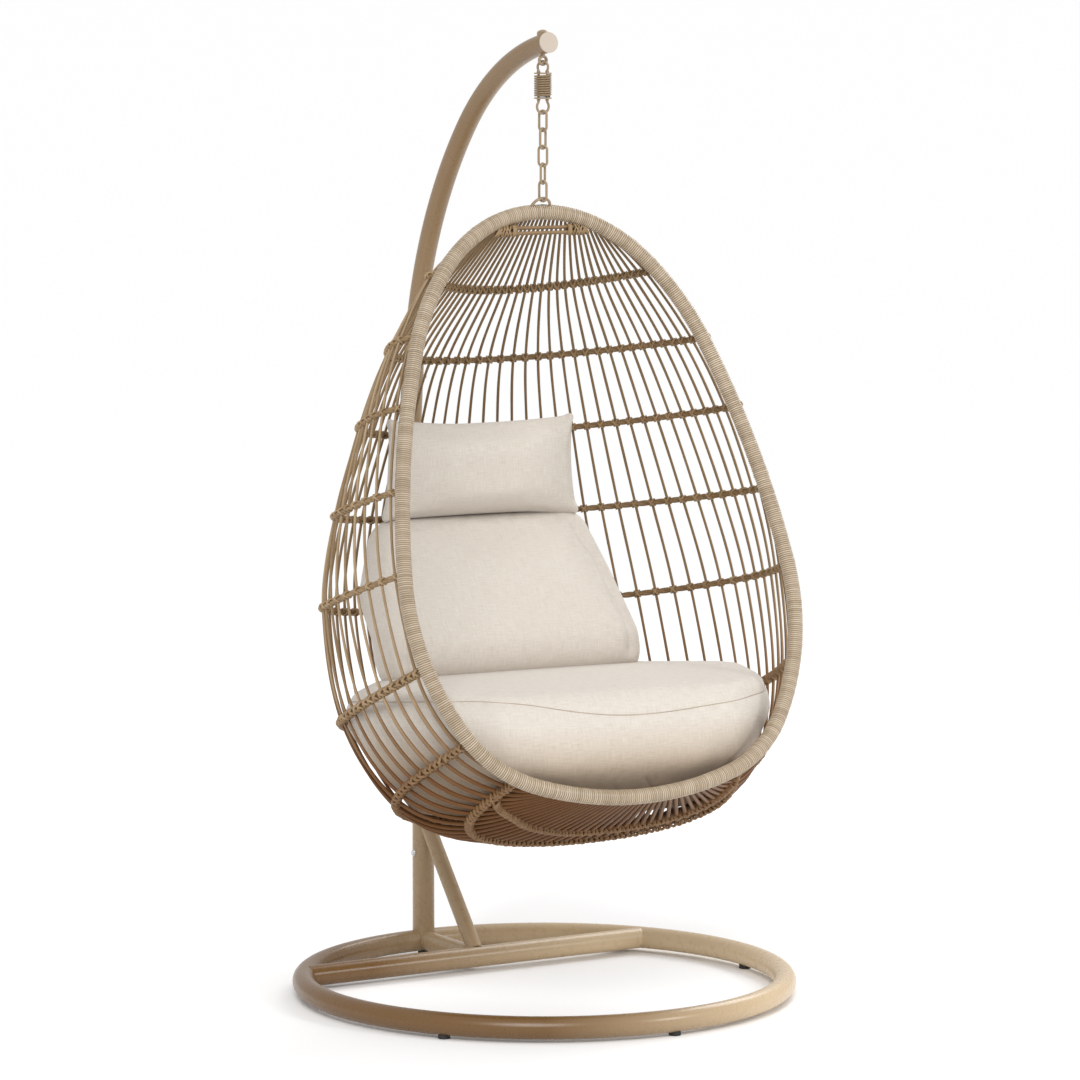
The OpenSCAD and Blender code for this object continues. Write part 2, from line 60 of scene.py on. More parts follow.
# ------------------------------------------------------------------ basket geometry
# The same functions as the basket's construction, in millimetres, before it is
# turned about the hang line and moved to the row's origin.
LEAN, RIM_D, WRAP_T, N_CANES, TURN, HANG_Y, SHIFT_Y = 21.0, 22.0, 4.4, 45, -5.0, 6.0, -28.0
RIM_R = RIM_D / 2 + WRAP_T
TUCK = RIM_R - 1.2
rim_o = np.array([0.0, 18.0, 1565.0])
ln = math.radians(LEAN)
rs = np.array([0.0, -math.sin(ln), -math.cos(ln)])
rn = np.array([0.0, math.cos(ln), -math.sin(ln)])


def nxt(p, h, R, a):
    s = 1 if a >= 0 else -1
    h1, h2 = math.radians(h), math.radians(h + a)
    c = np.array(p) + s * R * np.array([-math.sin(h1), math.cos(h1)])
    return c + s * R * np.array([math.sin(h2), -math.cos(h2)])


def chain(segs, p, h):
    out = []
    for R, a in segs:
        out.append((np.array(p, float), h, R, a))
        p = nxt(p, h, R, a)
        h += a
    return out, np.array(p), h


SEG6 = [[268.5, 29.1], [334.3, 21.6], [543.6, 19.7], [1889, 14.3], [510, 38], [249, 38.4]]
_, p6, h6 = chain(SEG6, (0, -11), 0)
RIM_ST, p7, _ = chain(SEG6 + [[p6[0] / math.sin(math.radians(h6)), 180 - h6]], (0, -11), 0)
SEC = [[111, 232, 185, 1410, 0.46, 2.9], [256, 314, 305, 1259, 0.48, 2.4], [399, 362, 350, 1102, 0.51, 1.94],
       [572, 398, 370, 930, 0.53, 1.45], [737, 415, 332, 745, 0.56, 1.08], [931, 400, 209, 514, 0.59, 0.86],
       [1051, 339, 21, 350, 0.62, 0.77], [1129, 242, -126, 333, 0.64, 0.82]]


def rim3(x, s):
    return rim_o + np.array([x, 0, 0]) + s * rs


def sec_pt(i, f):
    S = SEC[i]
    a = math.pi * f
    m = rim3(0, S[0])
    t = max(math.sin(a), 1e-5) ** S[5]
    return (m + np.array([-S[1] * math.cos(a) * (1 + S[4] * math.sin(a)), 0, 0])
            + t * (np.array([0, S[2], S[3]]) - m) + TUCK * (1 - math.sin(a)) * rn)


NA = 80
SP = [np.array([sec_pt(i, j / NA) for j in range(NA + 1)]) for i in range(8)]
LEN = [np.r_[0, np.cumsum(np.linalg.norm(np.diff(P, axis=0), axis=1))] for P in SP]


def even(i, g):
    L = LEN[i]
    v = g * L[-1]
    j = min(max(int(np.searchsorted(L, v) - 1), 0), NA - 1)
    return sec_pt(i, (j + (v - L[j]) / (L[j + 1] - L[j])) / NA)


def top_s(x):
    return -11 + 270 - math.sqrt(270 * 270 - x * x)


def bot_s(x):
    return 1182.5 - 654 + math.sqrt(654 * 654 - x * x)


def cane_ctrl(g):
    c = 2 * g - 1
    xt, xe = 178 * c, 208 * c
    return np.array([rim3(xt, top_s(xt)) + TUCK * rn] + [even(i, g) for i in range(8)]
                    + [rim3(xe, bot_s(xe)) + TUCK * rn])


def smooth(P, n):
    m, out = len(P), []
    for i in range(m - 1):
        a, b, c, d = P[max(i - 1, 0)], P[i], P[i + 1], P[min(i + 2, m - 1)]
        for k in range(n):
            t = k / n
            out.append(0.5 * (2 * b + (c - a) * t + (2 * a - 5 * b + 4 * c - d) * t * t
                              + (3 * b - a - 3 * c + d) * t ** 3))
    out.append(P[-1])
    return np.array(out)


ct, stn = math.cos(math.radians(TURN)), math.sin(math.radians(TURN))
TR = np.array([[ct, -stn, 0], [stn, ct, 0], [0, 0, 1.0]])


def world(P):
    """basket millimetres to row metres"""
    Q = np.atleast_2d(P) - [0, HANG_Y, 0]
    return (Q @ TR.T + [0, HANG_Y + SHIFT_Y, 0]) / 1000.0


def resample(P, step):
    P = np.asarray(P, float)
    L = np.r_[0, np.cumsum(np.linalg.norm(np.diff(P, axis=0), axis=1))]
    n = max(2, int(round(L[-1] / step)) + 1)
    t = np.linspace(0, L[-1], n)
    return np.c_[[np.interp(t, L, P[:, k]) for k in range(3)]].T, t


# ------------------------------------------------------------------ meshes
def hash01(i):
    x = np.sin(np.asarray(i, float) * 12.9898 + 78.233) * 43758.5453
    return x - np.floor(x)


def frames_along(P, closed=False, first=None):
    n = len(P)
    if closed:
        T = np.roll(P, -1, 0) - np.roll(P, 1, 0)
    else:
        T = np.empty_like(P)
        T[1:-1] = P[2:] - P[:-2]
        T[0], T[-1] = P[1] - P[0], P[-1] - P[-2]
    T /= np.linalg.norm(T, axis=1)[:, None]
    q = np.array(first, float) if first is not None else (
        np.array([1.0, 0, 0]) if abs(T[0][2]) > 0.9 else np.array([0, 0, 1.0]))
    Q = np.empty_like(P)
    for i in range(n):
        q = q - T[i] * (T[i] @ q)
        q /= np.linalg.norm(q)
        Q[i] = q
    return T, Q, np.cross(T, Q)


HEART = np.array([0.0, -0.03, 1.0])


class Pile:
    """tubes gathered into one mesh, with float attributes"""

    def __init__(self):
        self.V, self.F, self.A, self.n = [], [], {}, 0

    def tube(self, P, r, m, closed=False, first=None, ends=True, **attrs):
        """attrs hold one value for each ring"""
        P = np.asarray(P, float)
        n = len(P)
        r = np.broadcast_to(np.asarray(r, float), (n,)).copy() if np.ndim(r) < 2 else np.asarray(r, float)
        if ends and not closed and np.ndim(r) == 1:
            T0 = P[1] - P[0]
            T1 = P[-1] - P[-2]
            T0, T1 = T0 / np.linalg.norm(T0), T1 / np.linalg.norm(T1)
            P = np.vstack([P[0] - T0 * r[0] * 0.35, P, P[-1] + T1 * r[-1] * 0.35])
            r = np.r_[r[0] * 0.05, r, r[-1] * 0.05]
            attrs = {k: (np.r_[v[0], v, v[-1]] if np.ndim(v) else v) for k, v in attrs.items()}
            n += 2
        T, Q, B = frames_along(P, closed, first)
        a = 2 * np.pi * np.arange(m) / m
        R = r[:, None] if r.ndim == 1 else r
        V = P[:, None] + R[..., None] * (np.cos(a)[None, :, None] * Q[:, None] + np.sin(a)[None, :, None] * B[:, None])
        self.V.append(V.reshape(-1, 3))
        # painted shade weight: how far each point of the surface faces the middle of the basket, raised where it hangs
        # low; the wicker materials darken by it
        out = (P - HEART) * [1, 1, 0.55]
        out /= np.linalg.norm(out, axis=1)[:, None] + 1e-9
        N = np.cos(a)[None, :, None] * Q[:, None] + np.sin(a)[None, :, None] * B[:, None]
        low = 0.95 * np.clip((0.68 - P[:, 2]) / 0.25, 0, 1)[:, None]
        self.A.setdefault("inner", []).append(np.maximum(0.5 - 0.5 * (N * out[:, None]).sum(-1), low).reshape(-1))
        i = np.arange(n if closed else n - 1)[:, None]
        k = np.arange(m)[None]
        i2 = (i + 1) % n
        k2 = (k + 1) % m
        F = np.stack([i * m + k, i * m + k2, i2 * m + k2, i2 * m + k], -1).reshape(-1, 4) + self.n
        self.F.append(F)
        for key, v in attrs.items():
            v = np.repeat(np.broadcast_to(np.asarray(v, float), (n,)), m)
            self.A.setdefault(key, []).append(v)
        self.n += n * m
        return self

    def done(self, name, mat, slot, body):
        V, F = np.vstack(self.V), np.vstack(self.F)
        o = mesh_object(name, V, F, mat)
        for k, v in self.A.items():
            v = np.concatenate(v)
            if len(v) == len(V):
                at = o.data.attributes.new(k, "FLOAT", "POINT")
                at.data.foreach_set("value", v.astype(np.float32))
        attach(o, body)
        return o


def mesh_object(name, V, F, mat, shade=True):
    me = bpy.data.meshes.new(name)
    nv, nf = len(V), len(F)
    me.vertices.add(nv)
    me.vertices.foreach_set("co", np.asarray(V, np.float32).ravel())
    me.loops.add(nf * 4)
    me.loops.foreach_set("vertex_index", np.asarray(F, np.int32).ravel())
    me.polygons.add(nf)
    me.polygons.foreach_set("loop_start", np.arange(nf, dtype=np.int32) * 4)
    me.polygons.foreach_set("use_smooth", np.full(nf, shade))
    me.update(calc_edges=True)
    me.validate()
    if mat is not None:
        me.materials.append(mat)
    o = bpy.data.objects.new(name, me)
    bpy.context.scene.collection.objects.link(o)
    return o


# ------------------------------------------------------------------ materials
def new_mat(name):
    m = bpy.data.materials.new(name)
    m.use_nodes = True
    nt = m.node_tree
    b = next(n for n in nt.nodes if n.type == "BSDF_PRINCIPLED")
    return m, nt, b


def add(nt, kind, **kw):
    n = nt.nodes.new(kind)
    for k, v in kw.items():
        setattr(n, k, v)
    return n


def noise(nt, vec, scale, detail=3.0, rough=0.55):
    n = add(nt, "ShaderNodeTexNoise")
    n.inputs["Scale"].default_value = scale
    n.inputs["Detail"].default_value = detail
    n.inputs["Roughness"].default_value = rough
    nt.links.new(vec, n.inputs["Vector"])
    return n.outputs["Fac"]


def ramp(nt, fac, stops):
    r = add(nt, "ShaderNodeValToRGB")
    e = r.color_ramp.elements
    while len(e) < len(stops):
        e.new(0.5)
    for k, (p, c) in enumerate(stops):
        e[k].position = p
        e[k].color = (*c, 1)
    nt.links.new(fac, r.inputs["Fac"])
    return r.outputs["Color"]


def maths(nt, op, a, b=None, c=None):
    n = add(nt, "ShaderNodeMath", operation=op)
    for k, v in enumerate((a, b, c)):
        if v is None:
            continue
        if isinstance(v, (int, float)):
            n.inputs[k].default_value = v
        else:
            nt.links.new(v, n.inputs[k])
    return n.outputs[0]


def mixc(nt, fac, a, b, mode="MIX"):
    n = add(nt, "ShaderNodeMix", data_type="RGBA", blend_type=mode)
    for sock, v in ((n.inputs[0], fac), (n.inputs[6], a), (n.inputs[7], b)):
        if isinstance(v, (int, float)):
            sock.default_value = v
        elif isinstance(v, tuple):
            sock.default_value = (*v, 1)
        else:
            nt.links.new(v, sock)
    return n.outputs[2]


def bump(nt, b, height, dist, strength=1.0):
    n = add(nt, "ShaderNodeBump")
    n.inputs["Distance"].default_value = dist
    n.inputs["Strength"].default_value = strength
    nt.links.new(height, n.inputs["Height"])
    nt.links.new(n.outputs["Normal"], b.inputs["Normal"])


def obj_coord(nt):
    return add(nt, "ShaderNodeTexCoord").outputs["Object"]


def attr(nt, name):
    return add(nt, "ShaderNodeAttribute", attribute_name=name).outputs["Fac"]


def scaled(nt, vec, s):
    n = add(nt, "ShaderNodeMapping")
    n.inputs["Scale"].default_value = s
    nt.links.new(vec, n.inputs["Vector"])
    return n.outputs["Vector"]


def painted(name, lo, hi, rough=0.42):
    m, nt, b = new_mat(name)
    co = obj_coord(nt)
    # painted light and shade: lighter towards +X and darker towards -X, a little darker higher up, over a faint mottle
    sep = add(nt, "ShaderNodeSeparateXYZ")
    nt.links.new(co, sep.inputs[0])
    mottle_and_shade = maths(nt, "ADD", maths(nt, "MULTIPLY", noise(nt, co, 5, 3), 0.05),
                maths(nt, "MULTIPLY_ADD", sep.outputs[0], 0.95, 0.475))
    mottle_and_shade = maths(nt, "ADD", mottle_and_shade, maths(nt, "MULTIPLY", sep.outputs[2], -0.08))
    col = ramp(nt, mottle_and_shade, [(0.25, lo), (0.75, hi)])
    fine = noise(nt, co, 1300, 2)
    col = mixc(nt, 0.03, col, ramp(nt, fine, [(0.35, (0.75, 0.7, 0.65)), (0.65, (1, 1, 1))]), "MULTIPLY")
    nt.links.new(col, b.inputs["Base Color"])
    r = maths(nt, "MULTIPLY_ADD", noise(nt, co, 60, 3), 0.08, rough - 0.04)
    nt.links.new(r, b.inputs["Roughness"])
    b.inputs["Specular IOR Level"].default_value = 0.45
    bump(nt, b, noise(nt, co, 500, 2), 0.00003, 0.1)
    return m


def steel(name, base, rough):
    m, nt, b = new_mat(name)
    co = obj_coord(nt)
    col = ramp(nt, noise(nt, co, 140, 4), [(0.3, tuple(c * 0.8 for c in base)), (0.7, base)])
    nt.links.new(col, b.inputs["Base Color"])
    b.inputs["Metallic"].default_value = 0.9
    nt.links.new(maths(nt, "MULTIPLY_ADD", noise(nt, co, 300, 3), 0.2, rough), b.inputs["Roughness"])
    bump(nt, b, noise(nt, scaled(nt, co, (400, 400, 2500)), 1, 2), 0.0001, 0.4)
    return m


def rubber(name):
    m, nt, b = new_mat(name)
    co = obj_coord(nt)
    col = ramp(nt, noise(nt, co, 200, 3), [(0.3, (0.012, 0.012, 0.012)), (0.7, (0.03, 0.029, 0.028))])
    nt.links.new(col, b.inputs["Base Color"])
    b.inputs["Roughness"].default_value = 0.75
    bump(nt, b, noise(nt, co, 1500, 2), 0.0002, 0.5)
    return m


def strand(name, dark, mid, light, rough, var=0.5, shade=0.0):
    """resin wicker: colour varies from strand to strand and in fine lines along it; shade is painted into the grooves
    and, when shade is set, on inward-facing and low parts
    """
    m, nt, b = new_mat(name)
    co = obj_coord(nt)
    v = attr(nt, "tone")
    along = attr(nt, "along")
    around = attr(nt, "around")
    comb = add(nt, "ShaderNodeCombineXYZ")
    nt.links.new(maths(nt, "MULTIPLY", along, 18.0), comb.inputs[0])
    nt.links.new(maths(nt, "MULTIPLY", v, 37.0), comb.inputs[1])
    streak = noise(nt, comb.outputs[0], 2.2, 3)
    patch = noise(nt, co, 28, 3)
    f = maths(nt, "ADD", maths(nt, "MULTIPLY", v, var), maths(nt, "MULTIPLY", streak, 0.35))
    f = maths(nt, "ADD", f, maths(nt, "MULTIPLY_ADD", patch, 0.5, -0.17))
    col = ramp(nt, f, [(0.12, dark), (0.5, mid), (0.92, light)])
    # painted shade: darker in the gaps between the turns and where the cords cross the canes
    g = attr(nt, "groove")
    col = mixc(nt, g, col, tuple(c * 0.45 for c in dark), "MIX")
    # painted shade: faces turned to the middle of the basket and low parts are mixed towards a darker colour, browner
    # low down
    if shade:
        k = maths(nt, "SMOOTH_MIN", maths(nt, "MULTIPLY", attr(nt, "inner"), shade * 1.35), shade, 0.1)
        zz = add(nt, "ShaderNodeSeparateXYZ")
        nt.links.new(co, zz.inputs[0])
        deep = ramp(nt, zz.outputs[2], [(0.58, (mid[0] * 0.36, mid[1] * 0.18, mid[2] * 0.05)),
                                        (0.80, (mid[0] * 0.50, mid[1] * 0.44, mid[2] * 0.36))])
        col = mixc(nt, k, col, deep, "MIX")
    nt.links.new(col, b.inputs["Base Color"])
    nt.links.new(maths(nt, "MULTIPLY_ADD", patch, 0.2, rough - 0.1), b.inputs["Roughness"])
    b.inputs["Specular IOR Level"].default_value = 0.18 if shade else 0.5
    bump(nt, b, noise(nt, scaled(nt, co, (700, 700, 700)), 1, 3), 0.0003, 0.5)
    return m


def linen(name):
    """plain-weave linen: slubby threads both ways, laid on whichever side faces out"""
    m, nt, b = new_mat(name)
    co = obj_coord(nt)
    sep = add(nt, "ShaderNodeSeparateXYZ")
    nt.links.new(co, sep.inputs[0])
    geo = add(nt, "ShaderNodeNewGeometry")
    nrm = add(nt, "ShaderNodeSeparateXYZ")
    nt.links.new(geo.outputs["Normal"], nrm.inputs[0])
    x, y, z = sep.outputs

    def weave(u, w):
        out = []
        for p, q in ((u, w), (w, u)):
            c = add(nt, "ShaderNodeCombineXYZ")
            nt.links.new(maths(nt, "MULTIPLY", p, 620.0), c.inputs[0])
            nt.links.new(maths(nt, "MULTIPLY", q, 38.0), c.inputs[1])
            out.append(noise(nt, c.outputs[0], 1.0, 2))
        return maths(nt, "MULTIPLY", maths(nt, "ADD", out[0], out[1]), 0.5)

    w = [weave(y, z), weave(x, z), weave(x, y)]
    n = [maths(nt, "POWER", maths(nt, "ABSOLUTE", s), 4.0) for s in nrm.outputs]
    tot = maths(nt, "ADD", maths(nt, "ADD", n[0], n[1]), n[2])
    acc = maths(nt, "MULTIPLY", w[0], n[0])
    for k in (1, 2):
        acc = maths(nt, "ADD", acc, maths(nt, "MULTIPLY", w[k], n[k]))
    acc = maths(nt, "DIVIDE", acc, tot)
    col = ramp(nt, acc, [(0.34, (0.535, 0.482, 0.420)), (0.50, (0.600, 0.550, 0.492)), (0.66, (0.655, 0.612, 0.556))])
    patch = noise(nt, co, 5.0, 3)
    col = mixc(nt, maths(nt, "MULTIPLY_ADD", patch, 0.14, -0.03), col, (0.57, 0.50, 0.42))
    # painted shade: the cover turns browner and darker towards the bottom of the basket
    base = ramp(nt, z, [(0.42, (0.34, 0.245, 0.16)), (0.51, (0.72, 0.63, 0.53)), (0.60, (1, 1, 1))])
    col = mixc(nt, 1.0, col, base, "MULTIPLY")
    nt.links.new(col, b.inputs["Base Color"])
    b.inputs["Roughness"].default_value = 0.92
    b.inputs["Specular IOR Level"].default_value = 0.2
    b.inputs["Sheen Weight"].default_value = 0.18
    b.inputs["Sheen Roughness"].default_value = 0.5
    bump(nt, b, acc, 0.0008, 0.5)
    return m


M_STAND = painted("stand_paint", (0.150, 0.078, 0.026), (0.58, 0.440, 0.275), 0.28)
M_HANG = painted("hanger_paint", (0.27, 0.195, 0.118), (0.38, 0.290, 0.190), 0.27)
M_CAP = painted("end_cap_paint", (0.46, 0.39, 0.32), (0.56, 0.49, 0.41), 0.45)
M_COIL = painted("spring_paint", (0.21, 0.140, 0.075), (0.33, 0.235, 0.140), 0.25)
M_ZINC = steel("zinc_bolts", (0.62, 0.61, 0.59), 0.22)
M_RUBBER = rubber("foot_rubber")
M_RIM = strand("rim_wicker", (0.38, 0.285, 0.185), (0.58, 0.465, 0.335), (0.79, 0.68, 0.54), 0.31, 0.32)
M_CANE = strand("cane_wicker", (0.21, 0.140, 0.075), (0.36, 0.255, 0.150), (0.50, 0.375, 0.235), 0.38, 0.5, 0.92)
M_BAND = strand("band_wicker", (0.18, 0.114, 0.056), (0.29, 0.195, 0.106), (0.41, 0.290, 0.170), 0.40, 0.5, 0.74)
M_TIE = strand("tie_wicker", (0.25, 0.165, 0.086), (0.37, 0.258, 0.148), (0.50, 0.370, 0.230), 0.36, 0.4, 0.62)
M_LINEN = linen("linen")
M_SEAM = strand("seam_thread", (0.34, 0.27, 0.20), (0.42, 0.34, 0.26), (0.52, 0.44, 0.35), 0.8, 0.3)

slot_mat = {"stand_paint": M_STAND, "end_cap_paint": M_CAP, "hanger_paint": M_HANG, "zinc_bolts": M_ZINC, "foot_rubber": M_RUBBER,
            "rim_wicker": M_RIM, "cane_wicker": M_CANE, "linen": M_LINEN, "frame_steel": M_STAND}
node_slot = {s["node"]: s["material_slot"] for s in frame["record"]["subparts"]}
for n, o in nodes.items():
    # the arm's end cap gets its own lighter paint; part of that lightness is painted light on the end, which faces the
    # lamps
    m = M_CAP if n == "arm_end_cap" else slot_mat[node_slot[n]]
    if o.material_slots:
        for s in o.material_slots:
            s.material = m
    else:
        o.data.materials.append(m)

# ------------------------------------------------------------------ rim winding
half = []
for st in RIM_ST:
    k = max(4, int(abs(st[3]) * 1.5))
    half += [nxt(st[0], st[1], st[2], st[3] * i / k) for i in range(k)]
half.append(np.array([0, p7[1]]))
full = half + [np.array([-p[0], p[1]]) for p in half[-2:0:-1]]
rim_line = np.array([rim3(p[0], p[1]) for p in full])


def closed_resample(P, n):
    P = np.vstack([P, P[:1]])
    L = np.r_[0, np.cumsum(np.linalg.norm(np.diff(P, axis=0), axis=1))]
    t = np.linspace(0, L[-1], n, endpoint=False)
    return np.c_[[np.interp(t, L, P[:, k]) for k in range(3)]].T, L[-1]


_, rim_len = closed_resample(rim_line, 10)
pitch = 4.2
n_wind = int(rim_len / pitch)
per = 6
P, _ = closed_resample(rim_line, n_wind * per)
idx = np.arange(n_wind * per)
ph = (idx % per) / per
wind = idx // per
prof = np.abs(np.sin(np.pi * ph)) ** 0.8
rr = (RIM_R - 1.9) + 1.9 * prof + (hash01(wind) - 0.5) * 0.5
for c in np.linspace(0, n_wind, 19)[:-1]:
    # here and there one turn rides up on its neighbour
    rr += 0.55 * np.exp(-((wind - c - 7 * hash01(c)) / 1.2) ** 2)
# the gaps between the turns are darkened in colour: painted shade
rim = Pile().tube(world(P), rr / 1000, 22, closed=True, first=TR @ rn,
                  tone=hash01(wind * 1.7 + 3), along=wind * 0.13, around=0.0, groove=(1 - prof) ** 0.55 * 0.95)
o = rim.done("rim_winding", M_RIM, "rim_wicker", "basket")
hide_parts("rim_wrap", "rim_tube")

# ------------------------------------------------------------------ canes
gs = [(j + 0.5) / N_CANES for j in range(N_CANES)]
paths = []
for j, g in enumerate(gs):
    C = smooth(cane_ctrl(g), 14)
    wob = 0.7 * np.sin(np.linspace(0, 7 + 3 * hash01(j), len(C)) + 6 * hash01(j + 90))
    C = C + np.outer(wob * np.sin(np.pi * np.linspace(0, 1, len(C))), [1, 0, 0])
    paths.append(C)
BUNDLES = ["%s_canes_%d" % (w, k) for w in ("left", "back", "right") for k in (1, 2, 3)]
for q, node in enumerate(BUNDLES):
    pile = Pile()
    for j in range(q * N_CANES // 9, (q + 1) * N_CANES // 9):
        Q, t = resample(paths[j], 11)
        f = t / t[-1]
        r = 0.00285 + 0.0001 * np.sin(t / 23 + j) + 0.0015 * np.clip((f - 0.66) / 0.16, 0, 1)
        pile.tube(world(Q), r, 10, tone=float(hash01(j * 3.1)), along=t / 55.0, around=0.0, groove=0.0)
    o = pile.done(node + "_wicker", M_CANE, "cane_wicker", "basket")
    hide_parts(node)

# ------------------------------------------------------------------ woven bands
def ring(c, n, r, k=14):
    """points of a circle round c with normal n"""
    n = n / np.linalg.norm(n)
    a = np.cross(n, [0.3, 0.2, 0.93])
    a /= np.linalg.norm(a)
    b = np.cross(n, a)
    t = 2 * np.pi * np.arange(k) / k
    return c + r * (np.cos(t)[:, None] * a + np.sin(t)[:, None] * b)


def band_points(i, G):
    return np.array([even(i, g) for g in G])


def woven(name, node, fn, gmin, gmax, cross_g, core, tie_r, wire, tilt, between):
    """a twisted pair of cords along the canes, bound over each cane by crossed turns"""
    G = np.linspace(gmin, gmax, 420)
    P = np.array([fn(g) for g in G])
    L = np.r_[0, np.cumsum(np.linalg.norm(np.diff(P, axis=0), axis=1))]
    cl = np.interp(cross_g, G, L)
    t = np.linspace(0, L[-1], int(L[-1] / 3.0))
    Q = np.c_[[np.interp(t, L, P[:, k]) for k in range(3)]].T
    d = np.abs(t[:, None] - cl[None]).min(1)
    near = np.abs(t[:, None] - cl[None]).argmin(1)
    r = core * (0.92 + 0.10 * np.exp(-(d / 4.6) ** 2))
    T, U, B = frames_along(Q, False, rn)
    pile = Pile()
    # two cords side by side that swap places at each cane
    seg = np.interp(t, cl, np.arange(len(cl)))
    ang = np.pi * seg
    for s in (0, np.pi):
        off = core * 0.34
        C = Q + off * (np.cos(ang + s)[:, None] * U + np.sin(ang + s)[:, None] * B)
        # darker where the cords cross each cane: painted shade
        pile.tube(world(C), r * 0.70 / 1000, 10, tone=hash01(near + 7 * len(name)) * 0.6 + 0.2, along=t / 40.0,
                  around=0.0, groove=np.clip(np.exp(-(d / 3.0) ** 2) * 0.25, 0, 1))
    o = pile.done(name + "_weave", M_BAND, "cane_wicker", "basket")
    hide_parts(node)
    ties = Pile()
    spots = [(c, cross_g[k], 1.0) for k, c in enumerate(cl)]
    for n in range(between):
        w = (n + 1) / (between + 1)
        spots += [(cl[k] * (1 - w) + cl[k + 1] * w, cross_g[k] * (1 - w) + cross_g[k + 1] * w, 0.93)
                  for k in range(len(cl) - 1)]
    for c, g, size in spots:
        i = min(max(int(round(c / (t[1] - t[0]))), 1), len(t) - 2)
        p, tt = Q[i], T[i]
        # the cane's own direction here
        cp = paths[min(int(g * N_CANES), N_CANES - 1)]
        q = np.linalg.norm(cp - p, axis=1).argmin()
        q = min(max(q, 1), len(cp) - 2)
        cd = cp[q + 1] - cp[q - 1]
        cd /= np.linalg.norm(cd)
        for sgn in (1, -1):
            h = float(hash01(c * 2.3 + sgn))
            al = math.radians(tilt * (0.9 + 0.2 * h))
            nn = tt * math.cos(al) + sgn * cd * math.sin(al)
            R = ring(p, nn, tie_r * size * (0.96 + 0.08 * h), 18)
            ties.tube(world(R), wire / 1000, 8, closed=True, tone=h, along=c / 10.0, around=0.0, groove=0.0)
    ties.done(name + "_ties", M_TIE, "cane_wicker", "basket")


def band_pt(i, g):
    """bands 2 to 6 ride up the canes a little towards the rim on the -X side"""
    p = even(i, g)
    if 0 < i < 6 and g < 0.16:
        p = p + 0.16 * (1 - g / 0.16) ** 1.3 * (even(i - 1, g) - p)
    return p


for i in range(8):
    low = i >= 5
    woven("band_%d" % (i + 1), "band_%d" % (i + 1), lambda g, i=i: band_pt(i, g), 0.0, 1.0, gs,
          5.6 if low else 6.2, 9.4 if low else 7.9, 2.8 if low else 2.3, 42 if low else 40, 1 if low else 0)


FRONT_G = np.linspace(0.08, 0.92, 57)
FRONT_W = np.interp(FRONT_G, [0.08, 0.14, 0.2, 0.3, 0.45, 0.8, 0.86, 0.92], [0.92, 0.7, 0.57, 0.62, 0.71, 0.73, 0.8, 0.92])
for _ in range(6):
    FRONT_W[1:-1] = 0.25 * (FRONT_W[:-2] + 2 * FRONT_W[1:-1] + FRONT_W[2:])


def front_pt(g):
    xe = 208 * (2 * g - 1)
    w = float(np.interp(g, FRONT_G, FRONT_W))
    Pp = rim3(xe, bot_s(xe)) + TUCK * rn
    return (1 - w) * Pp + w * even(7, g) - np.array([0, 0, 4 * math.sin(math.pi * g)])


woven("front_band", "front_band", front_pt, 0.08, 0.92, [g for g in gs if 0.09 < g < 0.91], 6.2, 10.0, 2.9, 42, 1)

# ------------------------------------------------------------------ bar under the top of the rim
bar = Pile()
for s in (20, 31):
    c = rim3(0, s) + (TUCK - 9) * rn
    X = np.linspace(-84, 84, 30)
    Q = c + np.c_[X, 0 * X, 0 * X]
    bar.tube(world(Q), 0.0037, 12, tone=0.55 + 0.1 * (s > 25), along=X / 50.0, around=0.0, groove=0.0)
o = bar.done("top_bar_wicker", M_BAND, "cane_wicker", "basket")
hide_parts("top_bar")
tie = Pile()
for x0, wdt, s0, rad, lean_x in ((-78, 16, 25, 11.5, 5), (-60, 7, 25, 10.5, 2), (62, 7, 25, 10.5, 2), (80, 16, 25, 11.5, 5),
                               (96, 8, 27, 8.5, 6), (-94, 8, 27, 8.5, 6)):
    for k in range(5):
        x = x0 + (k - 2) * wdt / 5
        c = rim3(x, s0) + (TUCK - 9) * rn
        t = 2 * np.pi * np.arange(18) / 18
        R = (c + np.outer(np.cos(t) * 6.6, rn) + np.outer(np.sin(t) * rad, rs)
             + np.outer(np.sin(t) * lean_x * (1 if k % 2 else -1), [1, 0, 0]))
        tie.tube(world(R), 0.0017, 7, closed=True, tone=float(hash01(x)), along=float(k), around=0.0, groove=0.0)
tie.done("top_bar_ties", M_TIE, "cane_wicker", "basket")

# ------------------------------------------------------------------ eye: it comes up out of the winding and leans to the hang line
th = np.linspace(0, math.pi, 40)
lean_y = HANG_Y + 15 * (1 - np.sin(th)) ** 1.3
E = np.c_[-21 * np.cos(th), lean_y, 1582.4 + 21 * np.sin(th)]
E = np.vstack([E[:1] + [[0, 2, -7]], E, E[-1:] + [[0, 2, -7]]])
o = Pile().tube(world(E), 0.003, 14, tone=0.5, along=0.0, around=0.0, groove=0.0).done(
    "basket_eye_wire", M_HANG, "hanger_paint", "basket")
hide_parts("basket_eye")

# ------------------------------------------------------------------ spring coil
turns, r_c, hy = 9, (36 - 4.4) / 2, HANG_Y + SHIFT_Y
a = np.linspace(0, 2 * np.pi * turns, 40 * turns)
zc = 1803 + 2.2 + (46.5 - 4.4) * a / a[-1]
C = np.c_[r_c * np.cos(a), hy + r_c * np.sin(a), zc] / 1000
coil = Pile().tube(C, 0.0020, 12, tone=0.5, along=a / 3, around=0.0, groove=0.0).done(
    "spring_coil_wire", M_COIL, "hanger_paint", "spring_hanger")
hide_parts("spring_coil")
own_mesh(coil)


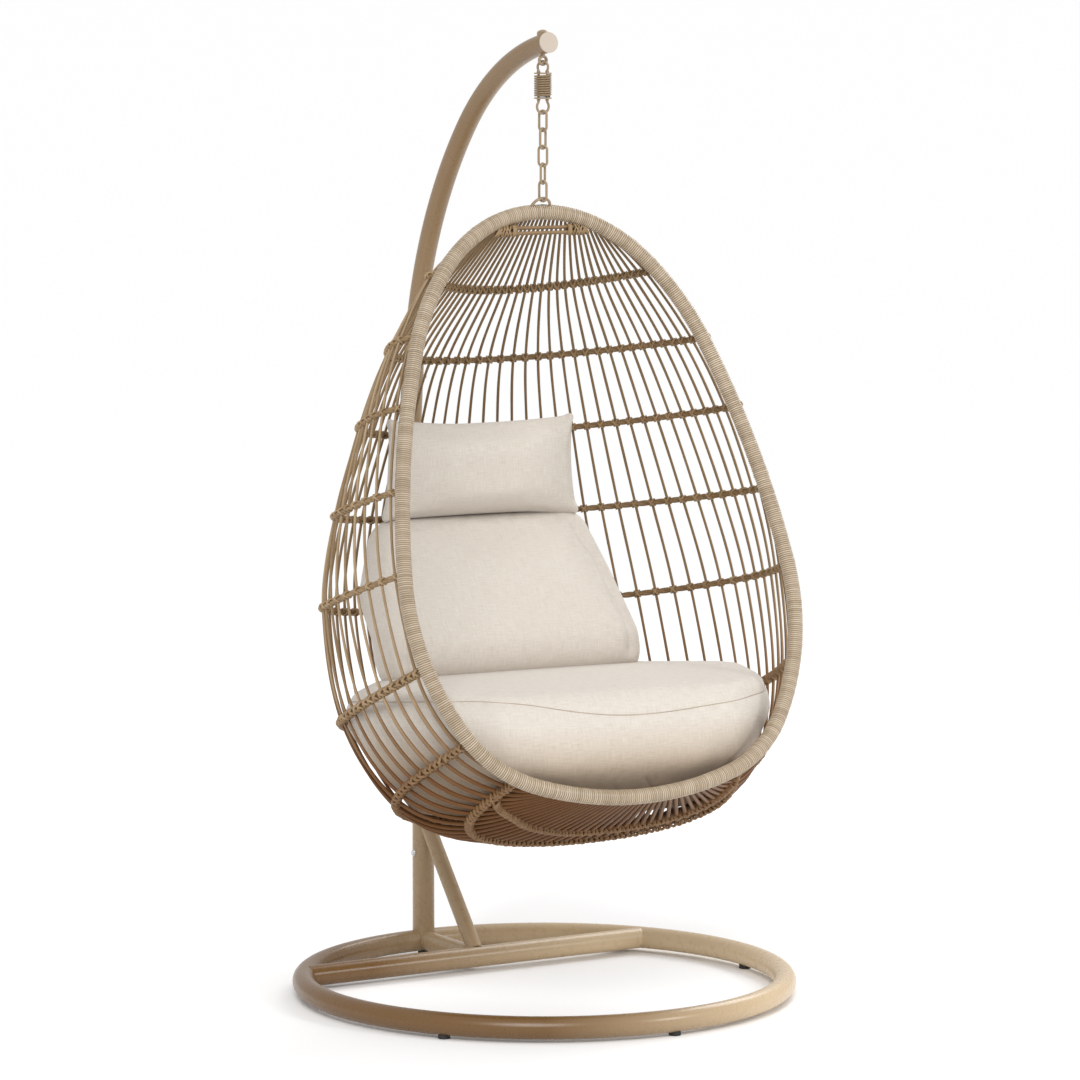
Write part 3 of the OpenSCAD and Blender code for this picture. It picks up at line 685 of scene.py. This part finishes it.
def half_hook(R, r, l):
    """half of a bent wire hook: its round head, the reverse bend and one leg with its collar"""
    psi = math.acos((10 + r) / (R + r))
    lz, c = (R + r) * math.sin(psi), l - 5.9
    out = [(R * math.cos(x), R * math.sin(x), 2.5) for x in np.linspace(-math.pi / 2, psi, 40)[1:]]
    out += [(10 + r - r * math.cos(x), lz - r * math.sin(x), 2.5) for x in np.linspace(psi, 0, 12)[1:]]
    out += [(10, z, 2.5) for z in np.linspace(lz, c - 0.6, 14)[1:]]
    out += [(10, c - 0.5, 2.6), (10, c - 0.1, 3.1), (10, c + 0.5, 3.6), (10, c + 1, 3.7), (10, c + 3, 3.7),
            (10, c + 3.5, 3.6), (10, c + 4, 3.1), (10, c + 4.4, 2.5), (10, l, 2.45)]
    return out


def hook(name, node, body, R, r, l, z, up, turn):
    H = half_hook(R, r, l)
    Q = np.array([(-x, y, w) for x, y, w in H[::-1]] + [(0, -R, 2.5)] + H)
    k = -1 if up else 1
    c, s_ = math.cos(math.radians(turn)), math.sin(math.radians(turn))
    P = np.c_[Q[:, 0] * c, hy + Q[:, 0] * s_, z + k * Q[:, 1]] / 1000
    o = Pile().tube(P, Q[:, 2] / 1000, 16, tone=0.5, along=0.0, around=0.0, groove=0.0).done(
        name, M_HANG, "hanger_paint", body)
    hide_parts(node)


u1_top = 1868.5 + 3.25 + 2.5 + 0.6
hook("spring_top_hook", "spring_top_loop", "spring_hanger", 12, 3, u1_top - 12 - 1803 + 8.5, u1_top - 12, True, -63)
hook("spring_bottom_hook", "spring_bottom_loop", "spring_slide", 13.5, 6, 1849.5 + 8.5 - 1771.3 - 13.5, 1771.3 + 13.5,
     False, 0)


# ------------------------------------------------------------------ cushions
def plain_copy(node, name):
    src = nodes[node]
    me = bpy.data.meshes.new(name)
    V = np.array([v.co for v in src.data.vertices])
    F = [tuple(p.vertices) for p in src.data.polygons]
    me.from_pydata([tuple(v) for v in V], [], F)
    o = bpy.data.objects.new(name, me)
    bpy.context.scene.collection.objects.link(o)
    return o


def evaluated(o):
    dg = bpy.context.evaluated_depsgraph_get()
    return bpy.data.meshes.new_from_object(o.evaluated_get(dg))


def coords(me):
    co = np.zeros(len(me.vertices) * 3, np.float32)
    me.vertices.foreach_get("co", co)
    return co.reshape(-1, 3).astype(float)


def normals(me):
    no = np.zeros(len(me.vertices) * 3, np.float32)
    me.vertices.foreach_get("normal", no)
    return no.reshape(-1, 3).astype(float)


def set_coords(me, co):
    me.vertices.foreach_set("co", np.asarray(co, np.float32).ravel())
    me.update()


def modified(o, kind, **kw):
    m = o.modifiers.new("m", kind)
    for k, v in kw.items():
        setattr(m, k, v)
    me = evaluated(o)
    o.modifiers.clear()
    old = o.data
    o.data = me
    bpy.data.meshes.remove(old)
    return o


def relaxed(co, edges, n, keep=None, amount=0.5):
    """a few rounds of even smoothing"""
    e = np.asarray(edges)
    deg = np.bincount(e.ravel(), minlength=len(co))[:, None].clip(1)
    for _ in range(n):
        s = np.zeros_like(co)
        np.add.at(s, e[:, 0], co[e[:, 1]])
        np.add.at(s, e[:, 1], co[e[:, 0]])
        co = co + amount * (s / deg - co)
    return co


def edge_array(me):
    e = np.zeros(len(me.edges) * 2, np.int32)
    me.edges.foreach_get("vertices", e)
    return e.reshape(-1, 2)


def billowed(o, cap, pressure):
    """a short cloth run with air inside; no point moves further than cap"""
    me = o.data
    start = coords(me)
    m = o.modifiers.new("cloth", "CLOTH")
    s = m.settings
    s.quality = 5
    s.mass = 0.35
    s.use_pressure = True
    s.uniform_pressure_force = pressure
    s.tension_stiffness = s.compression_stiffness = 18
    s.shear_stiffness = 6
    s.bending_stiffness = 0.6
    s.effector_weights.gravity = 0
    m.collision_settings.use_collision = False
    sc = bpy.context.scene
    for f in range(1, 21):
        sc.frame_set(f)
    end = evaluated(o)
    e = coords(end)
    bpy.data.meshes.remove(end)
    o.modifiers.clear()
    sc.frame_set(1)
    d = e - start
    L = np.linalg.norm(d, axis=1)[:, None]
    set_coords(me, start + d * np.minimum(1, cap / np.maximum(L, 1e-9)))
    return o


def hull_of(node):
    me = nodes[node].data
    return BVHTree.FromPolygons([tuple(v.co) for v in me.vertices], [tuple(p.vertices) for p in me.polygons])


def let_out(o, node, inside, rounds, limit=0.02):
    """brings a cover back to the size of the cushion it stands for, keeping its small folds"""
    tree = hull_of(node)
    me = o.data
    co, no = coords(me), normals(me)
    d = np.zeros((len(co), 1))
    for i, p in enumerate(co):
        loc, n, _, dist = tree.find_nearest(Vector(p))
        d[i] = dist if (Vector(p) - loc).dot(n) > 0 else -dist
    d = relaxed(d + inside, edge_array(me), rounds)
    set_coords(me, co - no * np.clip(d, -limit, limit))
    return o


def ring_frame(co):
    """row metres to basket millimetres"""
    return (np.asarray(co) * 1000 - [0, HANG_Y + SHIFT_Y, 0]) @ TR + [0, HANG_Y, 0]


def step(x, lo, hi):
    x = np.clip((x - lo) / (hi - lo), 0, 1)
    return x * x * (3 - 2 * x)


def from_hull(node, voxel, rounds, cap, inside, after):
    o = plain_copy(node, node + "_cover")
    modified(o, "REMESH", mode="VOXEL", voxel_size=voxel)
    me = o.data
    co, no = coords(me), normals(me)
    set_coords(me, relaxed(co, edge_array(me), rounds) - no * 0.004)
    billowed(o, cap, 4.0)
    let_out(o, node, inside, after)
    return o


def padded_sheet(name, W, H, rc, place, mat):
    """two panels sewn round their outline; place(s, t, d) gives the front and the back point"""
    def line(L):
        e = [0, 1.2, 3, 5.5, 9, 13.5]
        k = int(round((L - 2 * 19) / 6.5))
        return np.array(e + list(np.linspace(19, L - 19, k + 1)) + [L - v for v in e[::-1]])

    S, T = line(W), line(H)
    s, t = np.meshgrid(S, T, indexing="ij")
    a = np.where(s < rc, (rc - s) / rc, np.where(s > W - rc, (s - W + rc) / rc, 0))
    b = np.where(t < rc, (rc - t) / rc, np.where(t > H - rc, (t - H + rc) / rc, 0))
    a2, b2 = a * np.sqrt(1 - b * b / 2), b * np.sqrt(1 - a * a / 2)
    s = np.where(s < rc, rc - a2 * rc, np.where(s > W - rc, W - rc + a2 * rc, s))
    t = np.where(t < rc, rc - b2 * rc, np.where(t > H - rc, H - rc + b2 * rc, t))
    corner = (a > 0) & (b > 0)
    d = np.where(corner, rc * (1 - np.hypot(a2, b2)), np.minimum(np.minimum(s, W - s), np.minimum(t, H - t)))
    A, B = place(s, t, np.maximum(d, 0))
    n, m = s.shape
    idx = np.arange(n * m).reshape(n, m)
    back = idx.copy()
    inner = np.zeros((n, m), bool)
    inner[1:-1, 1:-1] = True
    back[inner] = n * m + np.arange(inner.sum())
    V = np.vstack([A.reshape(-1, 3), B[inner]])
    F = []
    for g, flip in ((idx, False), (back, True)):
        q = np.stack([g[:-1, :-1], g[1:, :-1], g[1:, 1:], g[:-1, 1:]], -1).reshape(-1, 4)
        F.append(q[:, ::-1] if flip else q)
    return mesh_object(name, world(V), np.vstack(F), mat)


def finish_cushion(o, node, sub=1):
    if sub:
        modified(o, "SUBSURF", levels=sub, render_levels=sub)
    o.data.polygons.foreach_set("use_smooth", np.full(len(o.data.polygons), True))
    o.data.materials.clear()
    o.data.materials.append(M_LINEN)
    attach(o, "basket")
    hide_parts(node)
    return o


# seat: a deep round bag, flat on top, with a seam round its shoulder
SEAM_F = np.radians([-180, -110, -90, -60, -45, -30, -15, 0, 15, 30, 45, 60, 90, 110, 180])
SEAM_Z = [606, 606, 630, 650, 651, 634, 619, 611, 611, 615, 624, 631, 622, 606, 606]


def seam_z(x, y):
    f = np.arctan2(np.asarray(x, float), -(np.asarray(y, float) + 60.0))
    w = np.radians(6)
    return sum(np.interp(f + k * w, SEAM_F, SEAM_Z) for k in (-1.5, -0.5, 0.5, 1.5)) / 4


seat = from_hull("seat_cushion", 0.0075, 8, 0.010, -0.0005, 10)
co = coords(seat.data)
no = normals(seat.data)
q = ring_frame(co)
top = step(q[:, 2], 625, 655) * np.exp(-((q[:, 0] - 40) / 300) ** 2 - ((q[:, 1] + 120) / 150) ** 2)
dz = q[:, 2] - seam_z(q[:, 0], q[:, 1])
side = step(np.linalg.norm(no[:, :2], axis=1), 0.2, 0.6)
co[:, 2] += 0.007 * top
co -= no * (0.0030 * np.exp(-(dz / 5.0) ** 2) * side)[:, None]
# the front panel stands a little proud between the seam and the underside
co += no * (0.004 * step(-dz, 4, 40) * side)[:, None]
# and fills the +X corner of the opening
f = np.degrees(np.arctan2(q[:, 0], -(q[:, 1] + 60)))
co += no * (0.007 * np.exp(-((f - 50) / 15) ** 2) * side * step(q[:, 2], 520, 580))[:, None]
set_coords(seat.data, co)

# back: a thick slab leaning back, its front panel drawn in along both sides
back = from_hull("back_cushion", 0.0065, 8, 0.008, -0.001, 8)
co = coords(back.data)
no = normals(back.data)
q = ring_frame(co)
nf = (TR @ np.array([0, -0.769, 0.639]))
front = step(no @ nf, 0.25, 0.6)
h = np.clip((q[:, 2] - 700) / 195, 0, 1)
for xe, sg in ((257 - 32 * h, 1), (-316 + 44 * h, -1)):
    inset = 27 + 20 * step(q[:, 2], 850, 925) + 8 * step(-q[:, 2], -760, -680)
    gap = (q[:, 0] - (xe - sg * inset)) * sg
    lip = step(q[:, 2], 640, 660) * (1 - step(q[:, 2], 915, 938))
    co -= no * (0.0110 * np.exp(-(gap / 11.0) ** 2) * front * lip)[:, None]
# its foot is square and sinks into the seat
q = ring_frame(co)
low = np.clip((716 - q[:, 2]) / 66, 0, 1)
q[:, 0] += np.sign(q[:, 0]) * 26 * low ** 2 * step(np.abs(q[:, 0]), 130, 250)
q[:, 2] -= 17 * low
set_coords(back.data, world(q))


# head pillow: thin at its edges, with pointed corners
def pillow_at(s, t, d):
    W, H = 440.0, 214.0
    xi = s / W
    x0 = -252 + 440 * xi
    xn = np.clip((x0 + 32) / 220, -1, 1)
    zt = 1146 + 11 * np.abs(xn) ** 2.2 + 5 * step(-x0, 60, 220)
    zb = 936 + 3 * (1 - xn * xn) - 5 * step(x0, 60, 150)
    z = zb + (zt - zb) * t / H
    right = 184 + 20 * np.clip((1143 - z) / 193, 0, 1) ** 1.5 - 5 * np.sin(np.pi * np.clip(t / H, 0, 1))
    left = -252 + 5 * np.sin(np.pi * np.clip(t / H, 0, 1))
    x = left + (right - left) * xi
    y = 256 - 30 * ((x + 17) / 232) ** 2 - (z - 1046) * 0.14
    u, v = np.abs(2 * s / W - 1), np.abs(2 * t / H - 1)
    e = np.sqrt(1 - (1 - np.minimum(d, 7) / 7) ** 2)
    f = e * (0.15 + 0.85 * (1 - step((u ** 3.4 + (0.84 * v) ** 3.4) ** (1 / 3.4), 0.30, 1.04)))
    A = np.stack([x, y - 68 * f, z], -1)
    B = np.stack([x, y + 40 * f, z], -1)
    return A, B


pillow = padded_sheet("head_pillow_cover", 440.0, 214.0, 13.0, pillow_at, M_LINEN)
billowed(pillow, 0.009, 3.0)
for o, node in ((seat, "seat_cushion"), (back, "back_cushion"), (pillow, "head_pillow")):
    finish_cushion(o, node)

# seam thread round the seat
dg = bpy.context.evaluated_depsgraph_get()
dg.update()
tree = BVHTree.FromPolygons([tuple(v.co) for v in seat.data.vertices], [tuple(p.vertices) for p in seat.data.polygons])
line = []
for f in np.linspace(0, 2 * math.pi, 361)[:-1]:
    dx, dy = math.sin(f), -math.cos(f)
    z = float(seam_z(dx, -60 + dy * 1.0))
    o0 = world([[0, -60, z]])[0]
    dw = TR @ np.array([dx, dy, 0.0])
    hit, n, _, dist = tree.ray_cast(Vector(o0), Vector(dw))
    if hit is not None:
        line.append(np.array(hit) + np.array(dw) * 0.0001)
line = np.array(line)
for _ in range(3):
    line = 0.5 * line + 0.25 * (np.roll(line, 1, 0) + np.roll(line, -1, 0))
seam = Pile().tube(line, 0.0009, 6, closed=True, tone=0.3, along=np.arange(len(line)) * 0.4, around=0.0,
                   groove=0.0).done("seat_cushion_seam", M_SEAM, "linen", "basket")

# ------------------------------------------------------------------ floor, light, camera
def plane(name, size, z, mat):
    me = bpy.data.meshes.new(name)
    s = size / 2
    me.from_pydata([(-s, -s, z), (s, -s, z), (s, s, z), (-s, s, z)], [], [(0, 1, 2, 3)])
    me.materials.append(mat)
    o = bpy.data.objects.new(name, me)
    bpy.context.scene.collection.objects.link(o)
    return o


fm, fnt, fb = new_mat("floor_white")
fb.inputs["Base Color"].default_value = (0.965, 0.965, 0.965, 1)
fb.inputs["Roughness"].default_value = 0.9
fb.inputs["Specular IOR Level"].default_value = 0.1
plane("floor", 600, -0.0005, fm)

w = bpy.data.worlds.new("studio")
bpy.context.scene.world = w
w.use_nodes = True
bg = next(n for n in w.node_tree.nodes if n.type == "BACKGROUND")
bg.inputs["Color"].default_value = (1.0, 1.0, 1.0, 1)
bg.inputs["Strength"].default_value = 0.74


def light(name, kind, loc, aim, power, size=None, angle=None, color=(1, 1, 1)):
    d = bpy.data.lights.new(name, kind)
    d.energy = power
    d.color = color
    if size:
        d.shape = "DISK"
        d.size = size
    if angle is not None:
        d.angle = math.radians(angle)
    o = bpy.data.objects.new(name, d)
    o.location = loc
    o.rotation_euler = (Vector(aim) - Vector(loc)).to_track_quat("-Z", "Y").to_euler()
    bpy.context.scene.collection.objects.link(o)
    return o


light("key", "SUN", (-3.4, -4.2, 5.2), (0, 0, 0.8), 1.5, angle=30)
light("rim_light", "AREA", (3.2, 1.5, 3.6), (0, 0, 1.0), 70, size=2.5)
light("low_softbox", "AREA", (2.2, -4.0, 2.4), (0, 0, 0.1), 45, size=0.9)

cam = bpy.data.cameras.new("camera")
cam.sensor_fit = "HORIZONTAL"
cam.sensor_width = 36.0
cam.lens = 5312.0 / 1080.0 * 36.0
cam.clip_end = 2000
co = bpy.data.objects.new("camera", cam)
co.location = (-5.507, -9.011 + SHIFT_Y / 1000, 2.1385)
co.rotation_euler = (math.radians(90 - 6.581), 0, math.radians(-31.383))
bpy.context.scene.collection.objects.link(co)
bpy.context.scene.camera = co
bpy.context.scene.view_settings.view_transform = "Standard"
bpy.context.scene.view_settings.look = "None"
